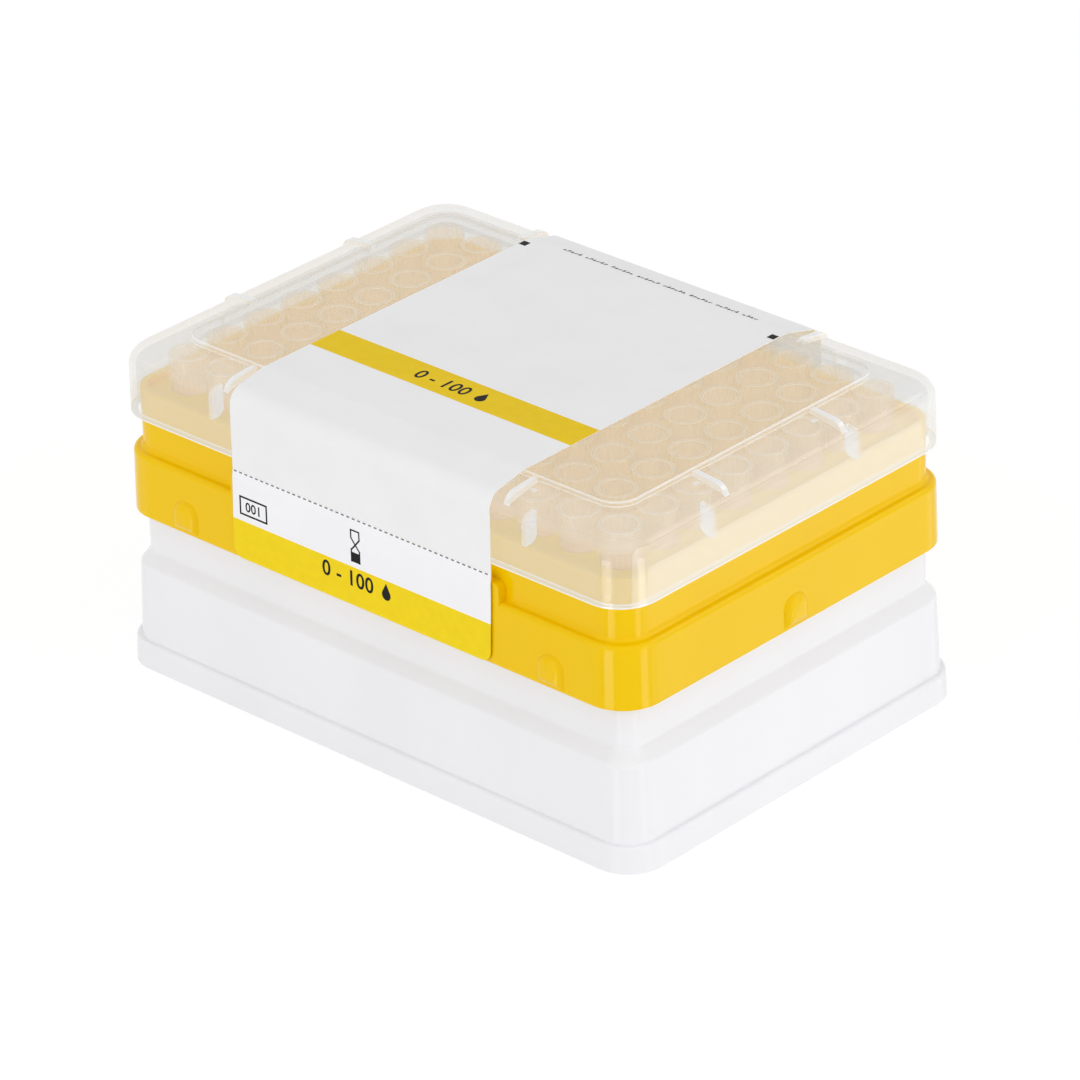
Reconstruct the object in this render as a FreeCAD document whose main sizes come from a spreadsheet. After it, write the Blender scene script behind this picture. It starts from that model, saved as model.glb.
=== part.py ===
import FreeCAD, Part
import math
import os

import Sketcher
from FreeCAD import Vector

# A hinged box of 96 pipette tips in millimetres, +Z up.
# The origin is the middle of the foot's lower face. The long side runs along X, the hinges are at +Y,
# and the label's printed front is at -Y. The tips stand in 12 columns along X and 8 rows along Y.

os.makedirs("parts", exist_ok=True)
doc = FreeCAD.newDocument("tip_box")

# ---------------------------------------------------------------- driving dimensions
SIZES = {
    # grid of tips
    "pitch": 9.0,
    "columns": 12,
    "rows": 8,
    "margin_x": 7.7,            # from the outer tips' axes to the outside of the tray's band, along X
    "margin_y": 7.9,            # and along Y
    # tray
    "band_corner": 5.5,
    "tray_wall": 1.3,
    "skirt_step": 1.7,          # how far the skirt stands out from the band
    "skirt_height": 11.6,
    "skirt_draft": 1.2,         # degrees
    "skirt_round": 0.9,
    "step_round": 0.7,          # in the corner between the skirt's step and the band
    "band_height": 11.4,        # from the skirt's step up to the tray's rim
    "rim_width": 1.3,
    "rim_round": 0.3,
    "deck_drop": 1.1,           # from the rim down to the deck that the tips rest on
    "deck_thickness": 1.4,
    "hole_radius": 2.95,
    "sleeve_wall": 0.75,
    "sleeve_depth": 6.0,
    "arch_width": 6.8,
    "arch_height": 6.6,
    "arch_proud": 1.0,
    "arch_draft": 32.0,         # degrees
    "arch_round": 2.0,
    "arch_inset": 14.9,         # from the band's end to the arches of a long side
    "pad_margin": 1.2,          # from the label's side to the end of the raised pad behind it
    "pad_rise": 3.4,
    # base box
    "base_wall": 1.4,
    "base_corner": 7.0,
    "foot_proud": 1.25,         # how far the foot stands out from the tray's skirt
    "foot_height": 4.9,
    "foot_draft": 2.9,          # degrees
    "foot_round": 0.5,
    "foot_ledge": 1.15,         # from the foot's side to the body's side
    "stack_play": 0.35,         # between the lugs of a lid and the foot of a box on top of it
    "foot_recess": 2.0,         # how far the floor's lower face is above the table
    "floor_thickness": 1.4,
    "body_draft": 2.4,          # degrees
    "waist_gap": 8.4,           # from the tray's skirt down to the top of the base box's shoulder
    "shoulder_height": 2.3,
    "waist_round": 1.2,
    "neck_gap": 1.1,            # between the neck and the inside of the tray's skirt
    "nose_width": 4.6,
    "nose_height": 3.4,
    "nose_reach": 1.4,          # from the neck's side
    "nose_rise": 1.2,           # from the skirt's lower edge up to each nose
    "nose_draft": 20.0,         # degrees
    "nose_play": 0.2,           # between a nose and its recess
    # tips
    "tip_length": 53.0,
    "collar_height": 6.6,
    "collar_seat": 0.65,        # how far a tip's collar reaches over its hole
    "collar_draft": 0.15,
    "collar_wall": 0.65,
    "tip_clearance": 1.8,       # between the tips' points and the floor
    "tip_play": 0.1,            # between a tip and its hole
    "tip_wall": 0.45,
    "taper_height": 17.0,       # height of the fine lower cone
    "taper_radius": 1.5,
    "point_radius": 0.5,
    "point_bore": 0.25,
    # lid
    "lid_wall": 1.2,
    "lid_gap": 0.55,            # between the tray's band and the lid
    "lid_overlap": 4.5,         # how far the lid reaches down over the tray
    "lid_draft": 1.0,           # degrees
    "lid_headroom": 2.5,        # between the tips and the plateau's lower face
    "eave_round": 2.9,
    "roof_rise": 1.5,
    "plateau_inset": 8.6,
    "plateau_step": 1.1,
    "plateau_corner": 4.5,
    "plateau_draft": 8.0,       # degrees
    "plateau_round": 0.35,
    "lug_margin": 2.4,          # from the label's side to the lugs of a long side
    "lug_y": 14.6,
    "lug_thickness": 1.2,
    "lug_inset": 1.45,
    "lug_fall": 1.0,            # from the plateau down to the lug's top at its outer end
    "lug_round": 2.4,
    "fin_thickness": 0.9,
    "fin_columns": 4,           # the fins line up with gaps between the tips
    "fin_rows": 2,
    "fin_reach": 3.9,
    "fin_round": 1.5,
    "fin_seat": 0.15,
    "fin_gap": 0.4,             # between a fin and the tray's rim
    # hinges
    "hinge_inset": 15.2,        # from the band's end to the middle of each hinge
    "hinge_rise": 3.7,          # from the skirt's step up to the axis
    "hinge_gap": 0.3,           # between the knuckle and the tray's band
    "pin_radius": 0.75,
    "pin_play": 0.1,
    "knuckle_radius": 1.3,
    "knuckle_slot": 1.3,        # the slot is a little narrower than the pin, which snaps in
    "ear_thickness": 1.6,
    "arm_width": 9.0,
    "arm_play": 0.3,
    "arm_inset": 0.05,
    # label
    "label_width": 59.6,
    "paper": 0.15,
    "paper_gap": 0.05,
    "label_shift": 0.1,         # towards -X
    "label_lean": 1.6,          # degrees, how far the lower part leans towards -X
    "label_lift": 0.3,          # between the skirt and the lower part
    "label_split": 1.9,         # from the lid's rim down to the perforation
    "split_gap": 0.06,
    "label_hem": 0.2,           # from the skirt's lower edge up to the label's end
    "label_tail": 2.0,          # from the lid's rim up to the label's other end, at the back
    "label_bend": 3.0,
    "label_fold": 5.0,
    "label_fall_front": 1.55,   # how far the paper falls from the plateau to the lid's front
    "label_fall_back": 2.4,     # and to the lid's back, where it lies on the shoulder
    "label_corner": 2.0,
}

sheet = doc.addObject("Spreadsheet::Sheet", "Sizes")
for row, (name, value) in enumerate(SIZES.items(), start=1):
    sheet.set(f"A{row}", name)
    sheet.set(f"B{row}", str(value))
    sheet.setAlias(f"B{row}", name)
doc.recompute()


def size(name):
    """The expression of one driving dimension."""
    return f"Sizes.{name}"


def add(*terms):
    return "(" + " + ".join(str(term) for term in terms) + ")"


def less(first, *terms):
    return "(" + " - ".join(str(term) for term in (first,) + terms) + ")"


def half(term):
    return f"({term} / 2)"


def minus(term):
    return f"(-({term}))"


def value(expression):
    """The number that an expression gives now."""
    return float(sheet.evalExpression(expression))


# ---------------------------------------------------------------- levels and outlines that the pieces share
BAND_X = f"(({size('columns')} - 1) / 2 * {size('pitch')} + {size('margin_x')})"
BAND_Y = f"(({size('rows')} - 1) / 2 * {size('pitch')} + {size('margin_y')})"
SKIRT_X = add(BAND_X, size("skirt_step"))
SKIRT_Y = add(BAND_Y, size("skirt_step"))
SKIRT_CORNER = add(size("band_corner"), size("skirt_step"))
SKIRT_FLARE = f"({size('skirt_height')} * tan({size('skirt_draft')}))"
LID_X = add(BAND_X, size("lid_gap"), size("lid_wall"))
LID_Y = add(BAND_Y, size("lid_gap"), size("lid_wall"))
LID_CORNER = add(size("band_corner"), size("lid_gap"), size("lid_wall"))
FOOT_X = add(SKIRT_X, size("foot_proud"))
FOOT_Y = add(SKIRT_Y, size("foot_proud"))

FLOOR = add(size("foot_recess"), size("floor_thickness"))
TIP_POINT = add(FLOOR, size("tip_clearance"))
TIP_TOP = add(TIP_POINT, size("tip_length"))
DECK = less(TIP_TOP, size("collar_height"))
DECK_UNDERSIDE = less(DECK, size("deck_thickness"))
RIM = add(DECK, size("deck_drop"))
STEP = less(RIM, size("band_height"))
BASE_TOP = less(STEP, size("tray_wall"))
SKIRT_BOTTOM = less(STEP, size("skirt_height"))
WAIST = less(SKIRT_BOTTOM, size("waist_gap"))
SHOULDER = less(WAIST, size("shoulder_height"))
LID_RIM = less(RIM, size("lid_overlap"))
PLATEAU = add(TIP_TOP, size("lid_headroom"), size("lid_wall"))
ROOF = less(PLATEAU, size("plateau_step"))
EAVE = less(ROOF, size("roof_rise"))
FIN_BOTTOM = add(RIM, size("fin_gap"))
AXIS_Y = add(BAND_Y, size("hinge_gap"), size("knuckle_radius"))
AXIS_Z = add(STEP, size("hinge_rise"))
SPLIT = less(LID_RIM, size("label_split"))
PAD_TOP = add(STEP, size("pad_rise"))
HALF_LABEL = half(size("label_width"))
ARCH_PLACE = less(BAND_X, size("arch_inset"))
HINGE_PLACE = less(BAND_X, size("hinge_inset"))
FIRST_X = f"(-({size('columns')} - 1) / 2 * {size('pitch')})"
FIRST_Y = f"(-({size('rows')} - 1) / 2 * {size('pitch')})"


# ---------------------------------------------------------------- helpers for bodies, sketches and features
def new_body(label):
    body = doc.addObject("PartDesign::Body", label)
    body.Label = label
    return body


def origin_feature(body, role):
    return next(item for item in body.Origin.OriginFeatures if item.Role == role)


def new_sketch(body, name, plane, offset):
    sketch = body.newObject("Sketcher::SketchObject", name)
    sketch.AttachmentSupport = [(origin_feature(body, plane), "")]
    sketch.MapMode = "FlatFace"
    sketch.setExpression("AttachmentOffset.Base.z", str(offset))
    return sketch


def bind(sketch, constraint, name, expression):
    """Adds a dimension to a sketch and ties it to an expression."""
    index = sketch.addConstraint(constraint)
    sketch.renameConstraint(index, name)
    sketch.setExpression(f"Constraints.{name}", str(expression))


def rounded_rectangle(body, name, level, half_x, half_y, corner):
    """A rectangle with four equal rounded corners about the Z axis, at a height."""
    sketch = new_sketch(body, name, "XY_Plane", level)
    x, y, r = value(half_x), value(half_y), value(corner)

    def side(x1, y1, x2, y2):
        sketch.addGeometry(Part.LineSegment(Vector(x1, y1, 0), Vector(x2, y2, 0)))

    def turn(x0, y0, start):
        ring = Part.Circle(Vector(x0, y0, 0), Vector(0, 0, 1), r)
        sketch.addGeometry(Part.ArcOfCircle(ring, math.radians(start), math.radians(start + 90)))

    side(r - x, -y, x - r, -y)
    turn(x - r, r - y, -90)
    side(x, r - y, x, y - r)
    turn(x - r, y - r, 0)
    side(x - r, y, r - x, y)
    turn(r - x, y - r, 90)
    side(-x, y - r, -x, r - y)
    turn(r - x, r - y, 180)
    for index in range(8):
        sketch.addConstraint(Sketcher.Constraint("Tangent", index, 2, (index + 1) % 8, 1))
    for index in (0, 4):
        sketch.addConstraint(Sketcher.Constraint("Horizontal", index))
    for index in (2, 6):
        sketch.addConstraint(Sketcher.Constraint("Vertical", index))
    for index in (3, 5, 7):
        sketch.addConstraint(Sketcher.Constraint("Equal", 1, index))
    sketch.addConstraint(Sketcher.Constraint("Symmetric", 7, 3, 3, 3, -1, 1))
    bind(sketch, Sketcher.Constraint("DistanceX", -1, 1, 2, 1, x), "half_length", half_x)
    bind(sketch, Sketcher.Constraint("DistanceY", -1, 1, 4, 1, y), "half_width", half_y)
    bind(sketch, Sketcher.Constraint("Radius", 1, r), "corner", corner)
    return sketch


def circle(body, name, plane, offset, u, v, radius):
    """A circle at (u, v) in its plane's own directions."""
    sketch = new_sketch(body, name, plane, offset)
    u0, v0, r0 = value(u), value(v), value(radius)
    sketch.addGeometry(Part.Circle(Vector(u0, v0, 0), Vector(0, 0, 1), r0))
    bind(sketch, Sketcher.Constraint("DistanceX", -1, 1, 0, 3, u0), "across", u)
    bind(sketch, Sketcher.Constraint("DistanceY", -1, 1, 0, 3, v0), "up", v)
    bind(sketch, Sketcher.Constraint("Radius", 0, r0), "radius", radius)
    return sketch


def outline(body, name, plane, offset, corners):
    """A closed outline of straight sides. A corner is (u, v), or (u, v, radius) where it is rounded."""
    sketch = new_sketch(body, name, plane, offset)
    count = len(corners)
    places = [Vector(value(str(c[0])), value(str(c[1])), 0) for c in corners]
    radii = [value(str(c[2])) if len(c) > 2 else 0 for c in corners]
    entries, exits = [], []
    for index, place in enumerate(places):
        before = (places[index - 1] - place).normalize()
        after = (places[(index + 1) % count] - place).normalize()
        cut = radii[index] / math.tan(before.getAngle(after) / 2) if radii[index] else 0
        entries.append(place + before * cut)
        exits.append(place + after * cut)
    for index in range(count):
        sketch.addGeometry(Part.LineSegment(exits[index], entries[(index + 1) % count]))
    for index, place in enumerate(places):
        across, up = str(corners[index][0]), str(corners[index][1])
        earlier = (index - 1) % count
        if not radii[index]:
            sketch.addConstraint(Sketcher.Constraint("Coincident", earlier, 2, index, 1))
            target = (index, 1)
        else:
            before = (places[earlier] - place).normalize()
            after = (places[(index + 1) % count] - place).normalize()
            bisector = (before + after).normalize()
            centre = place + bisector * (radii[index] / math.sin(before.getAngle(after) / 2))
            left_turn = before.cross(after).z < 0
            first = entries[index] if left_turn else exits[index]
            last = exits[index] if left_turn else entries[index]
            angles = [math.atan2((p - centre).y, (p - centre).x) for p in (first, last)]
            if angles[1] < angles[0]:
                angles[1] += 2 * math.pi
            ring = Part.Circle(centre, Vector(0, 0, 1), radii[index])
            arc = sketch.addGeometry(Part.ArcOfCircle(ring, angles[0], angles[1]))
            entry_end, exit_end = (1, 2) if left_turn else (2, 1)
            sketch.addConstraint(Sketcher.Constraint("Tangent", earlier, 2, arc, entry_end))
            sketch.addConstraint(Sketcher.Constraint("Tangent", arc, exit_end, index, 1))
            bind(sketch, Sketcher.Constraint("Radius", arc, radii[index]), f"round{index}",
                 corners[index][2])
            point = sketch.addGeometry(Part.Point(place), True)
            sketch.addConstraint(Sketcher.Constraint("PointOnObject", point, 1, earlier))
            sketch.addConstraint(Sketcher.Constraint("PointOnObject", point, 1, index))
            target = (point, 1)
        bind(sketch, Sketcher.Constraint("DistanceX", -1, 1, *target, place.x), f"across{index}", across)
        bind(sketch, Sketcher.Constraint("DistanceY", -1, 1, *target, place.y), f"up{index}", up)
    return sketch


def extrude(kind, body, name, profile, length, draft=None, reverse=False, centred=False):
    feature = body.newObject(f"PartDesign::{kind}", name)
    feature.Profile = profile
    feature.Midplane = centred
    feature.Reversed = reverse
    feature.setExpression("Length", str(length))
    if draft is not None:
        feature.setExpression("TaperAngle", str(draft))
    doc.recompute()
    return feature


def pad(body, name, profile, length, **options):
    """Adds material, along the sketch's normal unless reversed."""
    before = body_volume(body)
    feature = extrude("Pad", body, name, profile, length, **options)
    require(feature.Shape.Volume > before, f"{name} adds nothing")
    return feature


def pocket(body, name, profile, length, **options):
    """Cuts material, against the sketch's normal unless reversed."""
    before = body_volume(body)
    feature = extrude("Pocket", body, name, profile, length, **options)
    require(feature.Shape.Volume < before, f"{name} cuts nothing")
    return feature


def loft(kind, body, name, first, last):
    """Adds or cuts the straight-sided form between two outlines."""
    feature = body.newObject(f"PartDesign::{kind}Loft", name)
    feature.Profile = first
    feature.Sections = [last]
    feature.Ruled = True
    doc.recompute()
    return feature


def mirror(body, name, originals, *planes):
    """Repeats features on the other side of one or two of the body's planes."""
    feature = body.newObject("PartDesign::MultiTransform", name)
    feature.Originals = originals
    steps = []
    for plane in planes:
        step = body.newObject("PartDesign::Mirrored", f"{name}_{plane[:2]}")
        step.MirrorPlane = (origin_feature(body, plane), [""])
        steps.append(step)
    feature.Transformations = steps
    body.Tip = feature
    doc.recompute()
    return feature


def grid(body, name, original):
    """Repeats a feature at every place of a tip."""
    feature = body.newObject("PartDesign::LinearPattern", name)
    feature.Originals = [original]
    feature.Direction = (origin_feature(body, "X_Axis"), [""])
    feature.Direction2 = (origin_feature(body, "Y_Axis"), [""])
    feature.setExpression("Length", f"({size('columns')} - 1) * {size('pitch')}")
    feature.setExpression("Occurrences", size("columns"))
    feature.setExpression("Length2", f"({size('rows')} - 1) * {size('pitch')}")
    feature.setExpression("Occurrences2", size("rows"))
    body.Tip = feature
    doc.recompute()
    return feature


def round_edges(body, name, base, radius, choose):
    """A fillet on the edges that a test on their box picks out."""
    names = [f"Edge{i}" for i, edge in enumerate(base.Shape.Edges, start=1) if choose(edge.BoundBox)]
    require(names, f"{name} finds no edge")
    feature = body.newObject("PartDesign::Fillet", name)
    feature.Base = (base, names)
    feature.setExpression("Radius", str(radius))
    doc.recompute()
    return feature


def level_ring(level, beyond="0"):
    """Picks the edges that lie flat at a height and reach further out along X than a limit."""
    height, limit = value(level), value(beyond)

    def choose(box):
        flat = abs(box.ZMin - height) < 0.001 and abs(box.ZMax - height) < 0.001
        return flat and max(abs(box.XMin), abs(box.XMax)) > limit

    return choose


def body_volume(body):
    tip = body.Tip
    return tip.Shape.Volume if tip is not None and not tip.Shape.isNull() else 0


def require(test, message):
    if not test:
        raise RuntimeError(message)


# ---------------------------------------------------------------- base box
def make_base_box():
    body = new_body("base_box")
    body_x = less(FOOT_X, size("foot_ledge"))
    body_y = less(FOOT_Y, size("foot_ledge"))
    body_corner = less(size("base_corner"), size("foot_ledge"))
    neck_x = less(SKIRT_X, size("tray_wall"), size("neck_gap"))
    neck_y = less(SKIRT_Y, size("tray_wall"), size("neck_gap"))
    wall = size("base_wall")
    waist_inside = less(SHOULDER, half(wall))

    # outside: foot, body, shoulder and neck
    foot_outline = rounded_rectangle(body, "foot_outline", "0", FOOT_X, FOOT_Y, size("base_corner"))
    foot = pad(body, "foot", foot_outline, size("foot_height"), draft=minus(size("foot_draft")))
    round_edges(body, "foot_edge", foot, size("foot_round"), level_ring(size("foot_height"), body_x))

    # the body starts inside the foot, at the level of the foot's top less the wall
    start = less(size("foot_height"), wall)
    body_height = less(SHOULDER, start)
    lean = f"({body_height} * tan({size('body_draft')}))"
    shoulder_width = less(body_x, lean, neck_x)
    neck_corner = less(body_corner, lean, shoulder_width)
    body_outline = rounded_rectangle(body, "body_outline", start, body_x, body_y, body_corner)
    pad(body, "walls", body_outline, body_height, draft=minus(size("body_draft")))
    shoulder_outline = rounded_rectangle(body, "shoulder_outline", SHOULDER, less(body_x, lean),
                                         less(body_y, lean), less(body_corner, lean))
    pad(body, "shoulder", shoulder_outline, size("shoulder_height"),
        draft=minus(f"atan({shoulder_width} / {size('shoulder_height')})"))
    neck_outline = rounded_rectangle(body, "neck_outline", waist_inside, neck_x, neck_y, neck_corner)
    neck = pad(body, "neck", neck_outline, less(BASE_TOP, waist_inside))
    shoulder = round_edges(body, "shoulder_low", neck, size("waist_round"), level_ring(SHOULDER))
    round_edges(body, "shoulder_high", shoulder, size("waist_round"), level_ring(WAIST))

    # inside: the room below the waist follows the body's draft, and the neck's room opens it to the top
    drift = f"(({FLOOR} - {start}) * tan({size('body_draft')}))"
    room_outline = rounded_rectangle(
        body, "room_outline", FLOOR, less(body_x, wall, drift), less(body_y, wall, drift),
        less(body_corner, wall, drift))
    pocket(body, "room", room_outline, less(waist_inside, FLOOR), reverse=True,
           draft=minus(size("body_draft")))
    mouth_outline = rounded_rectangle(
        body, "mouth_outline", BASE_TOP, less(neck_x, wall), less(neck_y, wall),
        less(neck_corner, wall))
    pocket(body, "mouth", mouth_outline, less(BASE_TOP, waist_inside, minus(wall)))

    # the recess below the floor takes the plateau of a lid when boxes are stacked
    foot_rim = less(FOOT_X, LID_X, minus(size("lug_inset")), size("stack_play"))
    recess_outline = rounded_rectangle(body, "recess_outline", "0", less(FOOT_X, foot_rim),
                                       less(FOOT_Y, foot_rim), less(size("base_corner"), foot_rim))
    pocket(body, "stacking_recess", recess_outline, size("foot_recess"), reverse=True)

    # snap noses on the neck, one behind each arch of the tray
    low = add(SKIRT_BOTTOM, size("nose_rise"))
    high = add(low, size("nose_height"))
    reach = add(size("nose_reach"), half(wall))
    half_nose = half(size("nose_width"))
    left, right = less(ARCH_PLACE, half_nose), add(ARCH_PLACE, half_nose)
    long_nose = outline(body, "long_nose_outline", "XZ_Plane", less(neck_y, half(wall)),
                        [(left, low), (right, low), (right, high), (left, high)])
    long_pad = pad(body, "long_nose", long_nose, reach, draft=minus(size("nose_draft")))
    mirror(body, "long_noses", [long_pad], "YZ_Plane", "XZ_Plane")
    short_nose = outline(body, "short_nose_outline", "YZ_Plane", less(neck_x, half(wall)), [
        (minus(half_nose), low), (half_nose, low), (half_nose, high), (minus(half_nose), high)])
    short_pad = pad(body, "short_nose", short_nose, reach, draft=minus(size("nose_draft")))
    mirror(body, "short_noses", [short_pad], "YZ_Plane")
    return body


# ---------------------------------------------------------------- tip tray
def arch_corners(centre, width, low, high):
    """An upright arch: a rectangle whose two upper corners are round."""
    left, right = less(centre, half(width)), add(centre, half(width))
    bend = f"({width} * 0.49)"
    return [(left, low), (right, low), (right, high, bend), (left, high, bend)]


def make_tip_tray():
    body = new_body("tip_tray")
    wall = size("tray_wall")
    draft = minus(size("skirt_draft"))

    skirt_outline = rounded_rectangle(body, "skirt_outline", SKIRT_BOTTOM, add(SKIRT_X, SKIRT_FLARE),
                                      add(SKIRT_Y, SKIRT_FLARE), add(SKIRT_CORNER, SKIRT_FLARE))
    skirt = pad(body, "skirt", skirt_outline, size("skirt_height"), draft=draft)
    round_edges(body, "skirt_edge", skirt, size("skirt_round"), level_ring(STEP))
    band_outline = rounded_rectangle(body, "band_outline", less(STEP, wall), BAND_X, BAND_Y,
                                     size("band_corner"))
    band = pad(body, "band", band_outline, add(size("band_height"), wall))
    band = round_edges(body, "rim_edge", band, size("rim_round"), level_ring(RIM))
    round_edges(body, "step_corner", band, size("step_round"), lambda box: (
        level_ring(STEP)(box) and box.XMax < value(BAND_X) + 0.001 and -box.XMin < value(BAND_X) + 0.001
        and box.YMax < value(BAND_Y) + 0.001 and -box.YMin < value(BAND_Y) + 0.001))

    # the raised pad behind the label continues the skirt's face upwards
    pad_low = less(STEP, size("skirt_round"), half(size("skirt_round")))
    pad_end = add(HALF_LABEL, size("pad_margin"))
    pad_outline = outline(body, "label_pad_outline", "XZ_Plane", SKIRT_Y, [
        (minus(pad_end), pad_low), (pad_end, pad_low),
        (pad_end, PAD_TOP, size("skirt_round")), (minus(pad_end), PAD_TOP, size("skirt_round"))])
    pad(body, "label_pad", pad_outline, add(size("skirt_step"), half(wall)), reverse=True)

    # arches at the skirt's lower edge, each over a snap nose
    seat = half(wall)
    proud = add(size("arch_proud"), SKIRT_FLARE, seat)
    low = SKIRT_BOTTOM
    high = add(low, size("arch_height"))
    long_outline = outline(body, "long_arch_outline", "XZ_Plane", less(SKIRT_Y, seat),
                           arch_corners(ARCH_PLACE, size("arch_width"), low, high))
    long_pad = pad(body, "long_arch", long_outline, proud, draft=minus(size("arch_draft")))
    mirror(body, "long_arches", [long_pad], "YZ_Plane", "XZ_Plane")
    short_outline = outline(body, "short_arch_outline", "YZ_Plane", less(SKIRT_X, seat),
                            arch_corners("0", size("arch_width"), low, high))
    short_pad = pad(body, "short_arch", short_outline, proud, draft=minus(size("arch_draft")))
    arches = mirror(body, "short_arches", [short_pad], "YZ_Plane")
    face_x = value(less(add(SKIRT_X, proud), seat))
    face_y = value(less(add(SKIRT_Y, proud), seat))
    round_edges(body, "arch_edges", arches, size("arch_round"), lambda box: (
        box.ZMin > value(low) + 0.001 and (
            (abs(abs(box.XMin) - face_x) < 0.001 and abs(abs(box.XMax) - face_x) < 0.001)
            or (abs(abs(box.YMin) - face_y) < 0.001 and abs(abs(box.YMax) - face_y) < 0.001))))

    # the room for the neck, the hollow band above it, and the recess of the deck
    neck_room = rounded_rectangle(
        body, "neck_room_outline", SKIRT_BOTTOM, less(add(SKIRT_X, SKIRT_FLARE), wall),
        less(add(SKIRT_Y, SKIRT_FLARE), wall), less(add(SKIRT_CORNER, SKIRT_FLARE), wall))
    pocket(body, "neck_room", neck_room, less(size("skirt_height"), wall), reverse=True, draft=draft)
    hollow = rounded_rectangle(body, "hollow_outline", less(STEP, wall, wall), less(BAND_X, wall),
                               less(BAND_Y, wall), less(size("band_corner"), wall))
    pocket(body, "hollow", hollow, less(add(DECK_UNDERSIDE, wall, wall), STEP), reverse=True)
    deck_outline = rounded_rectangle(
        body, "deck_outline", RIM, less(BAND_X, size("rim_width")), less(BAND_Y, size("rim_width")),
        less(size("band_corner"), size("rim_width")))
    pocket(body, "deck_recess", deck_outline, size("deck_drop"))

    # recesses behind the arches, into which the noses snap
    play = size("nose_play")
    nose_low = less(add(SKIRT_BOTTOM, size("nose_rise")), play)
    nose_high = add(nose_low, size("nose_height"), play, play)
    half_nose = add(half(size("nose_width")), play)
    depth = add(wall, less(size("nose_reach"), size("neck_gap")), play)
    left, right = less(ARCH_PLACE, half_nose), add(ARCH_PLACE, half_nose)
    long_slot = outline(body, "long_slot_outline", "XZ_Plane", less(SKIRT_Y, wall, wall),
                        [(left, nose_low), (right, nose_low), (right, nose_high), (left, nose_high)])
    long_pocket = pocket(body, "long_slot", long_slot, depth, reverse=True)
    mirror(body, "long_slots", [long_pocket], "YZ_Plane", "XZ_Plane")
    short_slot = outline(body, "short_slot_outline", "YZ_Plane", less(SKIRT_X, wall, wall), [
        (minus(half_nose), nose_low), (half_nose, nose_low),
        (half_nose, nose_high), (minus(half_nose), nose_high)])
    short_pocket = pocket(body, "short_slot", short_slot, depth, reverse=True)
    mirror(body, "short_slots", [short_pocket], "YZ_Plane")

    # a sleeve below the deck and a hole through both at every place of a tip
    half_deck = half(size("deck_thickness"))
    sleeve_outline = circle(body, "sleeve_outline", "XY_Plane", add(DECK_UNDERSIDE, half_deck),
                            FIRST_X, FIRST_Y, add(size("hole_radius"), size("sleeve_wall")))
    sleeve = pad(body, "sleeve", sleeve_outline, add(size("sleeve_depth"), half_deck), reverse=True)
    grid(body, "sleeves", sleeve)
    hole_outline = circle(body, "hole_outline", "XY_Plane", RIM, FIRST_X, FIRST_Y, size("hole_radius"))
    hole = pocket(body, "hole", hole_outline,
                  add(size("deck_drop"), size("deck_thickness"), size("sleeve_depth"), "1"))
    grid(body, "holes", hole)

    # hinge: two ears with a pin between them, on each side of the back
    near = less(HINGE_PLACE, half(size("arm_width")), size("arm_play"), size("ear_thickness"))
    span = add(size("arm_width"), size("arm_play"), size("arm_play"))
    ear_top = add(AXIS_Z, size("knuckle_radius"))
    ear_out = add(AXIS_Y, size("knuckle_radius"))
    inside_band = less(BAND_Y, half(wall))
    inside_skirt = less(SKIRT_Y, half(wall))
    ear_bend = f"({size('knuckle_radius')} * 0.95)"
    ear_corners = [
        (inside_skirt, less(STEP, wall, wall, wall)), (ear_out, less(STEP, wall)),
        (ear_out, ear_top, ear_bend), (inside_band, ear_top), (inside_band, less(STEP, half(wall))),
        (inside_skirt, less(STEP, half(wall)))]
    first_outline = outline(body, "first_ear_outline", "YZ_Plane", near, ear_corners)
    first_ear = pad(body, "first_ear", first_outline, size("ear_thickness"))
    second_outline = outline(body, "second_ear_outline", "YZ_Plane", add(near, size("ear_thickness"), span),
                             ear_corners)
    second_ear = pad(body, "second_ear", second_outline, size("ear_thickness"))
    pin_start = add(near, half(size("ear_thickness")))
    pin_outline = circle(body, "pin_outline", "YZ_Plane", pin_start, AXIS_Y, AXIS_Z, size("pin_radius"))
    pin = pad(body, "pin", pin_outline, add(span, size("ear_thickness")))
    mirror(body, "hinges", [first_ear, second_ear, pin], "YZ_Plane")
    return body


# ---------------------------------------------------------------- lid
def drafted(expression, height):
    """What is left of a half width of the lid at a height above the lid's rim."""
    return less(expression, f"({height} * tan({size('lid_draft')}))")


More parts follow.
